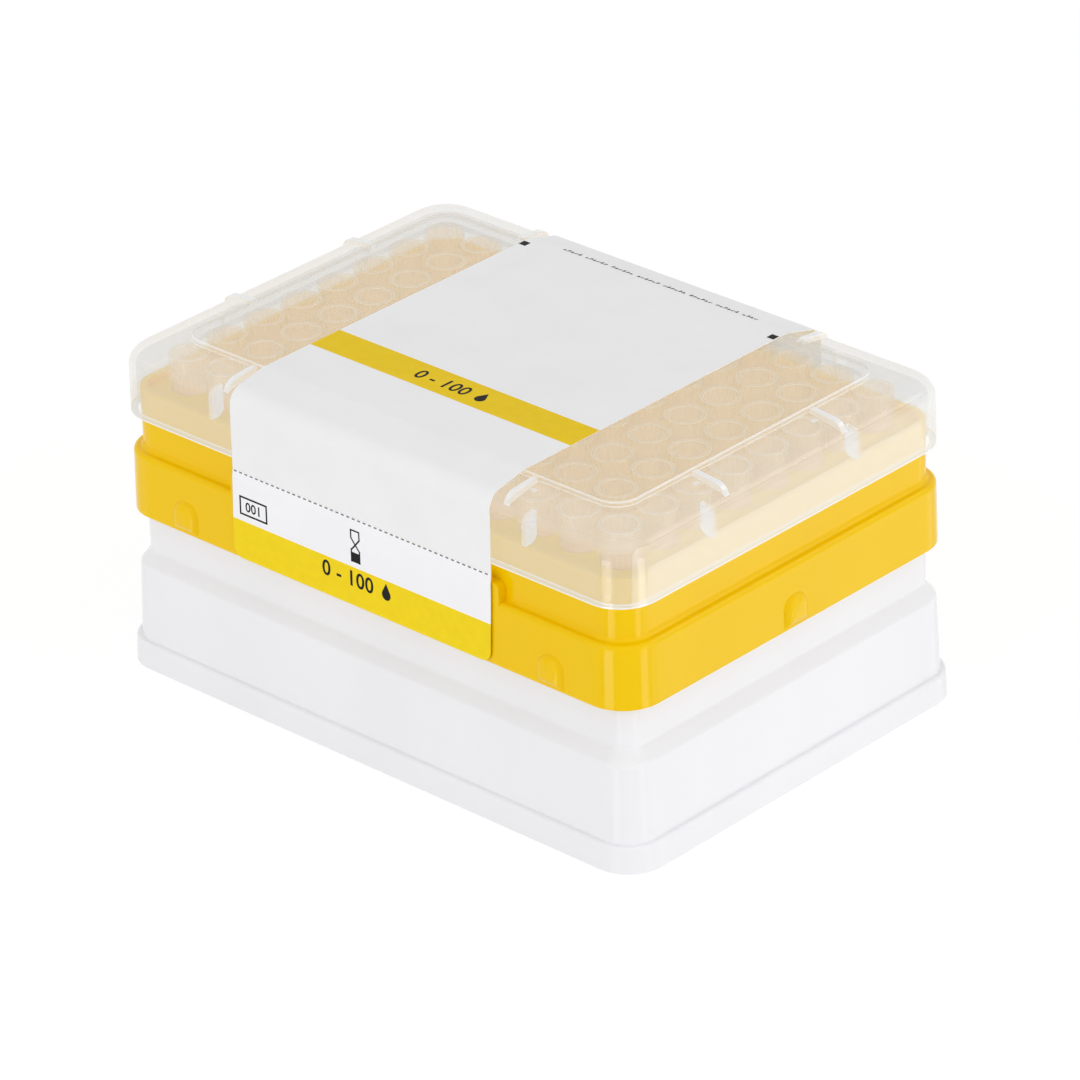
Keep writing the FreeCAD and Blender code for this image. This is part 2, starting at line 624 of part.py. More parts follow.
def make_lid():
    body = new_body("lid")
    wall = size("lid_wall")
    draft = minus(size("lid_draft"))
    top_draft = minus(size("plateau_draft"))
    side_height = less(EAVE, LID_RIM)
    room_height = less(side_height, wall)
    plateau_x = less(LID_X, size("plateau_inset"))
    plateau_y = less(LID_Y, size("plateau_inset"))

    side_outline = rounded_rectangle(body, "side_outline", LID_RIM, LID_X, LID_Y, LID_CORNER)
    pad(body, "sides", side_outline, side_height, draft=draft)
    eave_outline = rounded_rectangle(body, "eave_outline", EAVE, drafted(LID_X, side_height),
                                     drafted(LID_Y, side_height), drafted(LID_CORNER, side_height))
    roof_outline = rounded_rectangle(body, "roof_outline", ROOF, plateau_x, plateau_y,
                                     size("plateau_corner"))
    roof = loft("Additive", body, "roof", eave_outline, roof_outline)
    round_edges(body, "eave", roof, size("eave_round"), level_ring(EAVE))
    plateau_outline = rounded_rectangle(body, "plateau_outline", ROOF, plateau_x, plateau_y,
                                        size("plateau_corner"))
    plateau = pad(body, "plateau", plateau_outline, size("plateau_step"), draft=top_draft)
    round_edges(body, "plateau_edge", plateau, size("plateau_round"), level_ring(PLATEAU))

    # the inside follows the outside at the wall's distance
    room_x, room_y, room_corner = less(LID_X, wall), less(LID_Y, wall), less(LID_CORNER, wall)
    room_outline = rounded_rectangle(body, "room_outline", LID_RIM, room_x, room_y, room_corner)
    pocket(body, "room", room_outline, room_height, reverse=True, draft=draft)
    under_eave = rounded_rectangle(
        body, "under_eave_outline", less(EAVE, wall), drafted(room_x, room_height),
        drafted(room_y, room_height), drafted(room_corner, room_height))
    under_roof = rounded_rectangle(body, "under_roof_outline", less(ROOF, wall), less(plateau_x, wall),
                                   less(plateau_y, wall), less(size("plateau_corner"), wall))
    attic = loft("Subtractive", body, "attic", under_eave, under_roof)
    round_edges(body, "attic_edge", attic, less(size("eave_round"), wall),
                level_ring(less(EAVE, wall)))
    attic_outline = rounded_rectangle(body, "attic_outline", less(ROOF, wall), less(plateau_x, wall),
                                      less(plateau_y, wall), less(size("plateau_corner"), wall))
    pocket(body, "under_plateau", attic_outline, size("plateau_step"), reverse=True, draft=top_draft)

    # lugs on the shoulder: each runs out from the plateau and rounds off at the eave
    def lug_corners(half_width):
        far = less(half_width, size("lug_inset"))
        near = less(half_width, size("plateau_inset"), half(wall))
        return [(far, less(EAVE, wall)), (far, less(PLATEAU, size("lug_fall")), size("lug_round")),
                (near, less(PLATEAU, size("plateau_round"))), (near, less(ROOF, half(wall)))]

    lug = size("lug_thickness")
    side_lug = outline(body, "side_lug_outline", "XZ_Plane", less(size("lug_y"), half(lug)),
                       lug_corners(LID_X))
    side_pad = pad(body, "side_lug", side_lug, lug)
    mirror(body, "side_lugs", [side_pad], "YZ_Plane", "XZ_Plane")
    lug_x = add(HALF_LABEL, size("lug_margin"))
    front_lug = outline(body, "front_lug_outline", "YZ_Plane", less(lug_x, half(lug)),
                        lug_corners(LID_Y))
    front_pad = pad(body, "front_lug", front_lug, lug)
    mirror(body, "front_lugs", [front_pad], "YZ_Plane", "XZ_Plane")

    # fins inside, which stop just above the tray's rim
    def fin_corners(half_width):
        outer, inner = less(half_width, half(wall), size("fin_seat")), less(half_width, size("fin_reach"))
        return [(inner, FIN_BOTTOM, size("fin_round")), (outer, FIN_BOTTOM),
                (outer, less(EAVE, half(wall)), less(size("eave_round"), half(wall))), (inner, EAVE)]

    fin = size("fin_thickness")
    fin_y = f"({size('fin_rows')} * {size('pitch')})"
    side_fin = outline(body, "side_fin_outline", "XZ_Plane", less(fin_y, half(fin)),
                       fin_corners(LID_X))
    side_fin_pad = pad(body, "side_fin", side_fin, fin)
    mirror(body, "side_fins", [side_fin_pad], "YZ_Plane", "XZ_Plane")
    fin_x = f"({size('fin_columns')} * {size('pitch')})"
    front_fin = outline(body, "front_fin_outline", "YZ_Plane", less(fin_x, half(fin)),
                        fin_corners(LID_Y))
    front_fin_pad = pad(body, "front_fin", front_fin, fin)
    mirror(body, "front_fins", [front_fin_pad], "YZ_Plane", "XZ_Plane")

    # hinge arms: a tongue below the back wall with a slotted knuckle that snaps over the tray's pin
    arm_start = less(HINGE_PLACE, half(size("arm_width")))
    inset = size("arm_inset")
    tongue_outline = outline(body, "tongue_outline", "YZ_Plane", arm_start, [
        (add(less(LID_Y, wall), inset), AXIS_Z), (less(LID_Y, inset), AXIS_Z),
        (less(LID_Y, inset), add(LID_RIM, wall)), (add(less(LID_Y, wall), inset), add(LID_RIM, wall))])
    tongue = pad(body, "tongue", tongue_outline, size("arm_width"))
    knuckle_outline = circle(body, "knuckle_outline", "YZ_Plane", arm_start, AXIS_Y, AXIS_Z,
                             size("knuckle_radius"))
    knuckle = pad(body, "knuckle", knuckle_outline, size("arm_width"))
    bore_outline = circle(body, "bore_outline", "YZ_Plane", arm_start, AXIS_Y, AXIS_Z,
                          add(size("pin_radius"), size("pin_play")))
    bore = pocket(body, "bore", bore_outline, size("arm_width"), reverse=True)
    slot_near = less(AXIS_Y, half(size("knuckle_slot")))
    slot_far = add(AXIS_Y, half(size("knuckle_slot")))
    slot_low = less(AXIS_Z, size("knuckle_radius"), "1")
    slot_outline = outline(body, "slot_outline", "YZ_Plane", arm_start, [
        (slot_near, slot_low), (slot_far, slot_low), (slot_far, AXIS_Z), (slot_near, AXIS_Z)])
    slot = pocket(body, "slot", slot_outline, size("arm_width"), reverse=True)
    mirror(body, "arms", [tongue, knuckle, bore, slot], "YZ_Plane")
    return body


# ---------------------------------------------------------------- paper band label, in two parts
def round_paper(body, sheet_feature, level):
    """Rounds the paper's two corners at its end at a height."""
    height = value(level)
    short = 1.5 * value(size("paper"))
    round_edges(body, "corners", sheet_feature, size("label_corner"), lambda box: (
        abs(box.ZMin - height) < short and abs(box.ZMax - height) < short
        and box.XMax - box.XMin < 0.001 and box.YMax - box.YMin < short))


def make_label_lower():
    body = new_body("label_lower")
    bottom = add(SKIRT_BOTTOM, size("label_hem"))
    top = less(SPLIT, half(size("split_gap")))
    drift = f"(({STEP} - {bottom}) * tan({size('skirt_draft')}))"
    lean = f"(({top} - {bottom}) * tan({size('label_lean')}))"
    spare = size("label_corner")

    def face(distance):
        """The paper's face at a distance from the skirt, from its lower end to the perforation."""
        skirt = add(SKIRT_Y, size("label_lift"), distance)
        lid = add(LID_Y, size("paper_gap"), distance)
        return [(minus(add(skirt, drift)), bottom), (minus(skirt), STEP), (minus(skirt), PAD_TOP),
                (minus(lid), top)]

    # a strip that is too wide, which two cuts bring to its leaning sides and round lower corners
    start = minus(add(HALF_LABEL, size("label_shift"), lean, spare))
    wide = add(size("label_width"), lean, spare, spare)
    strip_outline = outline(body, "strip_outline", "YZ_Plane", start, face("0") + face(size("paper"))[::-1])
    pad(body, "strip", strip_outline, wide)
    for name, side in (("left", -1), ("right", 1)):
        upper = less(f"({side} * {HALF_LABEL})", size("label_shift"))
        lower = less(upper, lean)
        beyond = add(f"({side} * {spare} * 2)", less(upper, lean) if side < 0 else upper)
        inward = less(lower, f"({side} * {spare} * 1.5)")
        waste = outline(body, f"{name}_waste_outline", "XZ_Plane", add(SKIRT_Y, spare), [
            (beyond, top), (upper, top), (lower, bottom, size("label_corner")), (inward, bottom),
            (inward, less(bottom, spare)), (beyond, less(bottom, spare))][::-side])
        pocket(body, f"{name}_side", waste, add(spare, spare))
    return body


def make_label_upper():
    body = new_body("label_upper")
    bottom = add(SPLIT, half(size("split_gap")))
    tail = add(LID_RIM, size("label_tail"))

    def face(distance):
        """The paper's face at a distance from the lid, from the perforation over the top to the back."""
        side = add(LID_Y, distance)
        shoulder = add(drafted(LID_Y, less(EAVE, LID_RIM)), distance)
        edge = less(LID_Y, size("plateau_inset"))
        crest = add(PLATEAU, distance)
        bend, soft = add(size("label_bend"), distance), add(size("label_fold"), distance)
        front_low, back_low = less(crest, size("label_fall_front")), less(crest, size("label_fall_back"))
        back_side = drafted(side, less(tail, LID_RIM))
        return [(minus(side), bottom), (minus(side), LID_RIM), (minus(shoulder), front_low, bend),
                (minus(edge), crest, soft), (edge, crest, soft), (shoulder, back_low, bend),
                (back_side, tail)]

    inner = face(size("paper_gap"))
    outer = face(add(size("paper_gap"), size("paper")))
    start = minus(add(size("label_shift"), HALF_LABEL))
    paper_outline = outline(body, "paper_outline", "YZ_Plane", start, inner + outer[::-1])
    paper = pad(body, "paper_band", paper_outline, size("label_width"))
    round_paper(body, paper, tail)
    return body


# ---------------------------------------------------------------- tips
def make_tips_column(number):
    """One column of tips, each turned about its own upright axis and seated with its collar on the deck."""
    body = new_body(f"tips_column_{number:02d}")
    body.AllowCompound = True
    shank = less(size("hole_radius"), size("tip_play"))
    taper = add(TIP_POINT, size("taper_height"))
    wall = size("tip_wall")
    collar = add(size("hole_radius"), size("collar_seat"))
    section = outline(body, "section", "XZ_Plane", minus(FIRST_Y), [
        (less(collar, size("collar_wall")), TIP_TOP), (less(shank, wall), DECK),
        (less(size("taper_radius"), wall), taper), (size("point_bore"), TIP_POINT),
        (size("point_radius"), TIP_POINT), (size("taper_radius"), taper), (shank, DECK),
        (less(collar, size("collar_draft")), DECK), (collar, TIP_TOP)])
    tip = body.newObject("PartDesign::Revolution", "tip")
    tip.Profile = section
    tip.ReferenceAxis = (section, ["V_Axis"])
    tip.Angle = 360
    doc.recompute()
    row = body.newObject("PartDesign::LinearPattern", "row")
    row.Originals = [tip]
    row.Direction = (origin_feature(body, "Y_Axis"), [""])
    row.setExpression("Length", f"({size('rows')} - 1) * {size('pitch')}")
    row.setExpression("Occurrences", size("rows"))
    body.Tip = row
    body.setExpression("Placement.Base.x", f"{FIRST_X} + {number - 1} * {size('pitch')}")
    doc.recompute()
    return body


# ---------------------------------------------------------------- the object
pieces = [make_base_box(), make_tip_tray(), make_lid(), make_label_upper(), make_label_lower()]
pieces += [make_tips_column(number) for number in range(1, SIZES["columns"] + 1)]
doc.recompute()

for item in doc.Objects:
    require("Invalid" not in item.State and "Error" not in item.State, f"{item.Label} failed")
for piece in pieces:
    shape = piece.Shape
    require(not shape.isNull() and shape.isValid(), f"{piece.Label} has no valid shape")
    shape.exportStep(f"parts/{piece.Label}.step")
    box = shape.BoundBox
    print(f"{piece.Label}: {len(shape.Solids)} solids, {shape.Volume:.0f} mm3, "
          f"x {box.XMin:.2f} {box.XMax:.2f}, y {box.YMin:.2f} {box.YMax:.2f}, "
          f"z {box.ZMin:.2f} {box.ZMax:.2f}")
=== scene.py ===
import math

import bmesh
import bpy
from mathutils import Matrix, Vector
from mathutils.bvhtree import BVHTree


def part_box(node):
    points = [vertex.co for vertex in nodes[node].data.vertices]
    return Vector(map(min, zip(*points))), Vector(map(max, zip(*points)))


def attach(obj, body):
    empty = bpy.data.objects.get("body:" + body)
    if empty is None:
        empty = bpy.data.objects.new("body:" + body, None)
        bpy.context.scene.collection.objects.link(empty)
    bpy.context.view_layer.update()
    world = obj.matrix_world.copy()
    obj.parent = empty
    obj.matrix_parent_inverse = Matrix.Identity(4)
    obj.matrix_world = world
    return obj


# Looks of a hinged box of pipette tips. The long side runs along X, the label's printed front faces -Y, and +Z is up.
# Lengths are in metres in the CAD's frame, apart from those of the print and where a comment gives millimetres.

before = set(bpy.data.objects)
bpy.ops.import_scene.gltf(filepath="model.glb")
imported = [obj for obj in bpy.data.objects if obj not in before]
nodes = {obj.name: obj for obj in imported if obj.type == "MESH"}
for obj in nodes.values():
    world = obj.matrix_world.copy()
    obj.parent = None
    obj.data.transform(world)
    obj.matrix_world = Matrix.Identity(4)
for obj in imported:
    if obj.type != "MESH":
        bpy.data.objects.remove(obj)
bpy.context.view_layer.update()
MM = 0.001


def add_object(name, data):
    thing = bpy.data.objects.new(name, data)
    bpy.context.scene.collection.objects.link(thing)
    return thing


def direction(azimuth, elevation):
    """A unit vector from angles in degrees: azimuth 0 is in front of the label, and 90 is on the right."""
    a, e = math.radians(azimuth), math.radians(elevation)
    return Vector((math.sin(a) * math.cos(e), -math.cos(a) * math.cos(e), math.sin(e)))


# ---------------------------------------------------------------- camera
CAMERA_AZIMUTH = 43.747
CAMERA_ELEVATION = 27.735
CAMERA_ROLL = -1.983
CAMERA_DISTANCE = 1.1309
CAMERA_TARGET = Vector((-0.0332, 0.03617, 0))
CAMERA_LENS = 209.71
CAMERA_NEAR, CAMERA_FAR = 0.05, 20


def make_camera():
    """A long lens above the front right corner, turned a little about its own axis."""
    camera = add_object("camera", bpy.data.cameras.new("camera"))
    camera.data.lens = CAMERA_LENS
    camera.data.clip_start = CAMERA_NEAR
    camera.data.clip_end = CAMERA_FAR
    back = direction(CAMERA_AZIMUTH, CAMERA_ELEVATION)
    level = (-back).to_track_quat("-Z", "Y").to_matrix()
    roll = Matrix.Rotation(math.radians(CAMERA_ROLL), 3, "Z")
    camera.matrix_world = Matrix.LocRotScale(CAMERA_TARGET + back * CAMERA_DISTANCE, level @ roll, None)
    bpy.context.scene.camera = camera


# ---------------------------------------------------------------- material helpers
class Nodes:
    """A node tree, with short calls for the nodes that the looks need."""

    def __init__(self, tree):
        self.tree = tree

    def add(self, kind, inputs=None, **settings):
        node = self.tree.nodes.new(kind)
        for name, value in settings.items():
            setattr(node, name, value)
        for key, value in (inputs or {}).items():
            self.feed(node.inputs[key], value)
        return node

    def feed(self, socket, value):
        if isinstance(value, bpy.types.NodeSocket):
            self.tree.links.new(value, socket)
        else:
            socket.default_value = value

    def math(self, operation, first, second=0.0, third=0.0):
        return self.add("ShaderNodeMath", {0: first, 1: second, 2: third}, operation=operation).outputs[0]

    def times(self, first, second):
        return self.math("MULTIPLY", first, second)

    def larger(self, first, second):
        return self.math("MAXIMUM", first, second)

    def above(self, value, limit):
        """1 where a value is over a limit."""
        return self.math("GREATER_THAN", value, limit)

    def below(self, value, limit):
        """1 where a value is under a limit."""
        return self.math("LESS_THAN", value, limit)

    def within(self, value, start, end):
        """1 where a value is between two limits."""
        return self.math("COMPARE", value, (start + end) / 2, (end - start) / 2)

    def spread(self, value, low, high, start=0.3, end=0.7):
        """Maps a value onto a range. Without limits of its own it is taken to be a noise."""
        return self.add("ShaderNodeMapRange", {
            "Value": value, "From Min": start, "From Max": end, "To Min": low, "To Max": high}).outputs[0]

    def blend(self, factor, first, second):
        return self.add("ShaderNodeMix", {"Factor": factor, 6: first, 7: second}, data_type="RGBA").outputs[2]

    def shown_ray(self):
        """1 for the rays that show the background itself: straight, in gloss and through clear plastic."""
        path = self.add("ShaderNodeLightPath").outputs
        return self.larger(self.larger(path["Is Camera Ray"], path["Is Glossy Ray"]), path["Is Transmission Ray"])


class Look(Nodes):
    """A material's nodes around its shader."""

    def __init__(self, name):
        self.material = bpy.data.materials.new(name)
        self.material.use_nodes = True
        super().__init__(self.material.node_tree)
        self.shader = self.tree.nodes["Principled BSDF"]
        self.place = self.add("ShaderNodeTexCoord").outputs["Object"]

    def set(self, **sockets):
        """Sets the shader's sockets. A name's underscores stand for spaces."""
        for name, value in sockets.items():
            self.feed(self.shader.inputs[name.replace("_", " ")], value)

    def plain(self):
        """The colour that the shader has so far."""
        return self.shader.inputs["Base Color"].links[0].from_socket

    def axis(self, letter):
        return self.add("ShaderNodeSeparateXYZ", {0: self.place}).outputs[letter]

    def noise(self, scale, detail=2.0, stretch=None):
        """Noise by position, in features a metre. Stretch slows it along each axis."""
        vector = self.place
        if stretch:
            vector = self.add("ShaderNodeVectorMath", {0: vector, 1: stretch}, operation="MULTIPLY").outputs[0]
        return self.add("ShaderNodeTexNoise", {"Vector": vector, "Scale": scale, "Detail": detail}).outputs["Fac"]

    def bump(self, height, strength, distance):
        self.set(Normal=self.add("ShaderNodeBump", {
            "Height": height, "Strength": strength, "Distance": distance}).outputs[0])


def colour(red, green, blue):
    """A colour given as the eye sees it, in linear light."""
    def linear(value):
        share = value / 255
        return share / 12.92 if share <= 0.04045 else ((share + 0.055) / 1.055) ** 2.4
    return (linear(red), linear(green), linear(blue), 1.0)


def darker(paint, share):
    return tuple(share * part for part in paint[:3]) + (1,)


# ---------------------------------------------------------------- plastics
FLOW_MARKS = 40
FLOW_STRETCH = (1.0, 1.0, 0.35)
GLOSS_PATCHES = 90
ORANGE_PEEL = 700
PEEL_DEPTH = 0.01 * MM


def moulded(name, main, shade, low, high, grain=0.1):
    """Moulded polypropylene: faint flow marks in its colour and gloss, and a fine orange peel."""
    look = Look(name)
    flow = look.noise(FLOW_MARKS, stretch=FLOW_STRETCH)
    look.set(Base_Color=look.blend(look.spread(flow, 0, 1), main, shade),
             Roughness=look.spread(look.noise(GLOSS_PATCHES), low, high), IOR=1.49)
    look.bump(look.noise(ORANGE_PEEL), grain, PEEL_DEPTH)
    return look


def tray_plastic():
    look = moulded("tray_plastic", colour(249, 205, 0), colour(246, 201, 0), 0.12, 0.17, 0.05)
    look.set(Specular_IOR_Level=0.14)
    return look.material


def base_plastic():
    look = moulded("base_plastic", colour(246, 246, 249), colour(243, 243, 246), 0.17, 0.2, 0.05)
    look.set(Specular_IOR_Level=0.2)
    return look.material


# heights above the table
LID_RIM = 48.2 * MM
LID_EAVE = 58.5 * MM
DECK = 51.6 * MM
TIP_TOP = 58.2 * MM

WALL_DEPTH = 1.3 * MM           # from the lid's side to the inside of its wall
PLATE_START = 0.9 * MM          # from the lid's side to where its fins and lugs begin
# fins and lugs in millimetres: place from the middle of an end and of a long side, thickness, reach from the side,
# and the heights of their foot and top
FINS = (18, 36, 1.0, 4.0, 53.0, 58.6)
LUGS = (14.6, 32.2, 1.3, 8.4, 59.2, 62.0)

# how milky the lid is and how much painted highlight and sheen it carries, where 0 is its clear faces and 1 the most
RIM_HEIGHT, RIM_HIGHLIGHT = 0.25 * MM, 0.8
PLATE_MILK_AND_SHINE = 0.62
# painted sheen on the lid's end walls and long walls
END_WALL_SHEEN, LONG_WALL_SHEEN = 0.16, 0.03
GRAZING_MILK = 0.4
GRAZING_START = 0.78
LEVEL_HIGHLIGHTS = (                  # from one height to another in millimetres
    (61.5, 61.85, 0.5),         # a painted highlight line on the plateau's rounded edge
    (60.85, 61.05, 0.45),       # a painted highlight line at the foot of the plateau's step
    (57.9, 60.6, 0.07),         # a faint painted sheen over the roof and the eave
)
CLEAR_ALPHA, MILK_AND_SHINE_ALPHA = 0.26, 0.7     # of the clear faces, and what the milk and the painted highlights and sheen add
PALE_MILK_AND_SHINE = 6.0                 # how soon the milky places and the painted highlights and sheen turn pale


def lid_plastic():
    """Clear polypropylene, milkier and paler in its lugs and fins, partly as thicker plastic and partly as painted
    highlight; painted highlight lines along its rim and plateau, and painted sheen on its walls.
    """
    look = moulded("lid_plastic", colour(220, 224, 228), colour(217, 221, 225), 0.09, 0.13, 0.03)
    low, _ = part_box("lid")
    across, along = (look.math("ABSOLUTE", look.axis(letter)) for letter in "XY")
    up = look.axis("Z")
    # the ends and the long sides: position towards the wall, the wall's place, and position along it
    walls = ((across, -low.x, along), (along, -low.y, across))

    # a painted highlight line along the lid's bottom rim
    milk_and_shine = look.times(look.below(up, LID_RIM + RIM_HEIGHT), RIM_HIGHLIGHT)
    # painted highlight lines and sheen in bands of height
    for start, end, share in LEVEL_HIGHLIGHTS:
        milk_and_shine = look.larger(milk_and_shine, look.times(look.within(up, start * MM, end * MM), share))
    # fins and lugs: milkier as thicker plastic, and paler as a painted highlight on them
    for *places, thickness, reach, bottom, top in (FINS, LUGS):
        for (depth, side, position), middle in zip(walls, places):
            plate = look.times(
                look.times(look.within(position, (middle - thickness / 2) * MM, (middle + thickness / 2) * MM),
                           look.within(depth, side - reach * MM, side - PLATE_START)),
                look.within(up, bottom * MM, top * MM))
            milk_and_shine = look.larger(milk_and_shine, look.times(plate, PLATE_MILK_AND_SHINE))
    # painted sheen on the end walls and the long walls, below the eave
    below_eave = look.below(up, LID_EAVE)
    for (depth, side, _), share in zip(walls, (END_WALL_SHEEN, LONG_WALL_SHEEN)):
        wall = look.times(look.above(depth, side - WALL_DEPTH), below_eave)
        milk_and_shine = look.larger(milk_and_shine, look.times(wall, share))

    facing = look.add("ShaderNodeLayerWeight", {"Blend": 0.5}).outputs["Facing"]
    grazing = look.times(look.spread(facing, 0, 1, GRAZING_START, 1.0), GRAZING_MILK)
    # the milky places and painted highlights and sheen are more opaque, and blended towards a near white
    look.set(IOR=1.6, Alpha=look.math("MULTIPLY_ADD", look.larger(milk_and_shine, grazing), MILK_AND_SHINE_ALPHA, CLEAR_ALPHA),
             Base_Color=look.blend(look.times(milk_and_shine, PALE_MILK_AND_SHINE), look.plain(), colour(245, 248, 251)))
    return look.material


PITCH = 9 * MM
# painted highlight rings on the mouths' edges: their radii, half-width, depth from the top and strength
MOUTH_EDGES = (3.52 * MM, 3.02 * MM)
MOUTH_EDGE_HALF = 0.11 * MM
MOUTH_DEPTH = 0.12 * MM
MOUTH_HIGHLIGHT = 0.45
COLLAR_RIBS, RIB_SHARE = 24, 0.35
COLLAR_FADE = 4 * MM            # from the deck to where the collar is at its clearest; below that, more opaque plastic covers the shade in the bores as painted light
COLLAR_ALPHA, BORE_COVER_ALPHA, RIB_ALPHA = 0.32, 0.5, 0.06  # of the collar, and what the painted light over the bores' shade and the ribs add


def tip_plastic():
    """Natural polypropylene with a peach tint that is painted yellow light from the tray; more opaque towards the
    deck as painted light over the shade in the bores, clearer in the collar, with painted highlight rings on the
    mouth's edges, and ribs at the mouth.
    """
    # the peach colours are painted yellow light from the tray on whitish plastic
    look = moulded("tip_plastic", colour(252, 225, 169), colour(249, 220, 162), 0.12, 0.18)
    up = look.axis("Z")
    off_x, off_y = (look.math("SUBTRACT", look.math("WRAP", look.axis(letter), PITCH, 0.0), PITCH / 2)
                    for letter in "XY")
    radius = look.math("SQRT", look.math("ADD", look.times(off_x, off_x), look.times(off_y, off_y)))
    # pale, more opaque rings at the mouths' edges are painted highlights
    edges = look.larger(*(look.math("COMPARE", radius, edge, MOUTH_EDGE_HALF) for edge in MOUTH_EDGES))
    edges = look.times(edges, look.times(look.above(up, TIP_TOP - MOUTH_DEPTH), MOUTH_HIGHLIGHT))
    turn = look.math("FRACT", look.times(look.math("ARCTAN2", off_y, off_x), COLLAR_RIBS / (2 * math.pi)))
    ribs = look.times(look.below(turn, RIB_SHARE), look.above(up, DECK))
    # more opaque towards the deck, so that lit plastic covers the shade in the bores: painted light
    bore_cover = look.spread(up, 1, 0, DECK, DECK + COLLAR_FADE)
    alpha = look.math("MULTIPLY_ADD", look.larger(edges, bore_cover), BORE_COVER_ALPHA, COLLAR_ALPHA)
    look.set(IOR=1.7, Alpha=look.math("MULTIPLY_ADD", ribs, RIB_ALPHA, alpha),
             Base_Color=look.blend(edges, look.plain(), colour(255, 250, 238)))
    return look.material


# ---------------------------------------------------------------- paper and ink
STRIPE_TOP = (-21.7 * MM, -14.6 * MM)
STRIPE_FRONT = 37.1 * MM
PAPER_MIDDLE = 62.02 * MM       # half-way through the paper on the plateau


def label_paper(name, stripe, white, yellow):
    """Coated paper with a printed yellow stripe where a mask by position is 1."""
    look = Look(name)
    paper = look.blend(look.spread(look.noise(90, 3.0), 0, 1), white, darker(white, 0.97))
    printed = look.blend(look.spread(look.noise(500, 4.0), 0, 1), yellow, darker(yellow, 0.95))
    look.set(Base_Color=look.blend(stripe(look), paper, printed),
             Roughness=look.spread(look.noise(700), 0.42, 0.55), IOR=1.45, Specular_IOR_Level=0.12)
    look.bump(look.noise(2500, 3.0), 0.08, 0.05 * MM)
    return look.material


def top_stripe(look):
    """The stripe is on the paper's upper face only."""
    return look.times(look.within(look.axis("Y"), *STRIPE_TOP), look.above(look.axis("Z"), PAPER_MIDDLE))


def front_stripe(look):
    return look.below(look.axis("Z"), STRIPE_FRONT)


def ink():
    look = Look("ink")
    look.set(Base_Color=look.blend(look.noise(1500), colour(8, 6, 6), colour(14, 12, 12)),
             Roughness=look.spread(look.noise(900), 0.5, 0.6), Specular_IOR_Level=0.15)
    return look.material


def grey_ink():
    look = Look("grey_ink")
    look.set(Base_Color=look.blend(look.noise(1500), colour(84, 84, 88), colour(110, 110, 114)), Roughness=0.5)
    return look.material


def dress(name, material):
    """Gives a CAD node its material."""
    node = nodes[name]
    node.data.materials.clear()
    node.data.materials.append(material)
    return node


def lets_light_through(node):
    """Thin clear plastic and paper don't darken what is behind them."""
    node.visible_shadow = False
    node.visible_diffuse = False


# ---------------------------------------------------------------- print on the label
# in metres: how far the film stands out, and from how far away the paper is looked for
INK_RAISE = 0.02 * MM
RAY_REACH = 0.05
# in millimetres
FOLD_STEP = 1.5
MERGE_DISTANCE = 0.001
LETTER_WEIGHT, LETTER_SPACING = 0.014, 1.04


